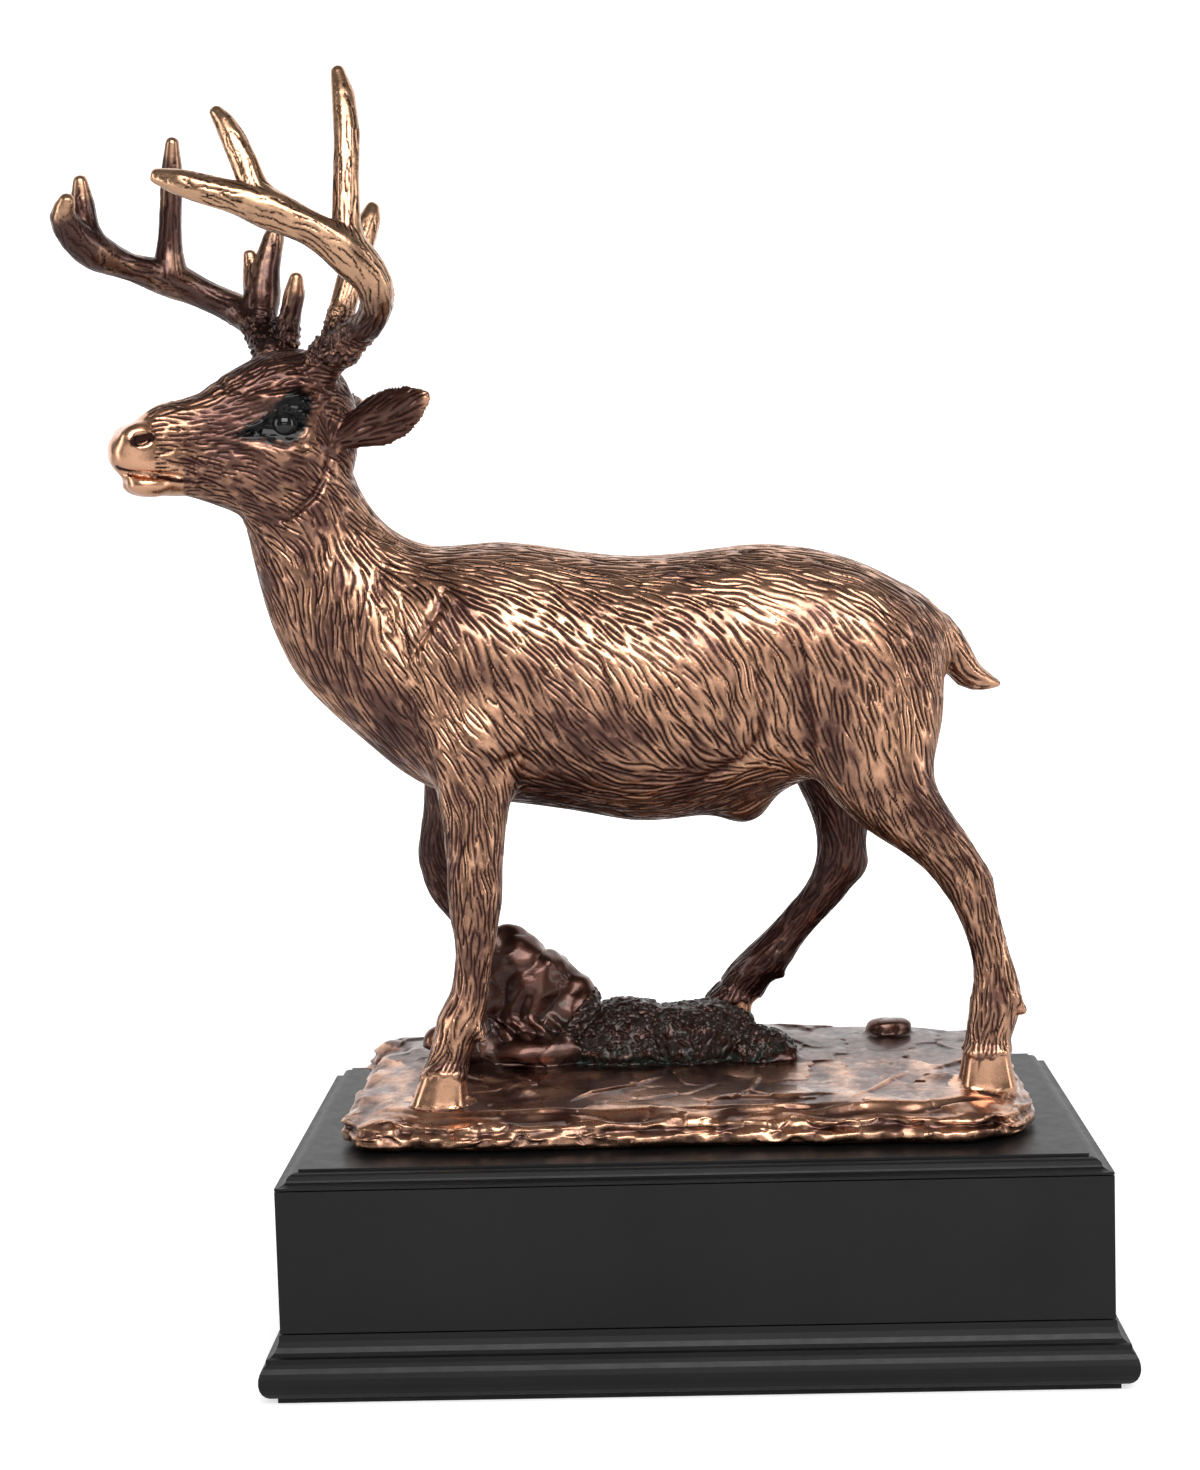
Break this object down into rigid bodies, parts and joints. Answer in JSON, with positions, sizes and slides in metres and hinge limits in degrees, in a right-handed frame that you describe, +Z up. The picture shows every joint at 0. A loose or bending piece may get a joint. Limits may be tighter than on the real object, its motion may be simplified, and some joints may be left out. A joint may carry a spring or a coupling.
{
  "type": "deer statue",
  "caption": "Standing whitetail buck with tall antlers, cast together with its rocky ground and mounted on a moulded black rectangular plinth.",
  "frame": {"origin": "centre of the plinth's underside", "axes": "+Z up, the buck faces -X with its left side to -Y, +Y to the back"},
  "size_m": [0.2579, 0.126, 0.3185],
  "materials": {
    "bronze_finish": "copper and bronze plating with a dark red-brown patina in the recesses",
    "black_paint": "satin black paint on fibreboard",
    "felt": "black felt"
  },
  "bodies": {
    "root": {"deer_on_rocky_ground": "bronze_finish", "plinth_top": "black_paint", "plinth_block": "black_paint", "plinth_skirt": "black_paint", "felt_pad": "felt"}
  },
  "joints": []
}
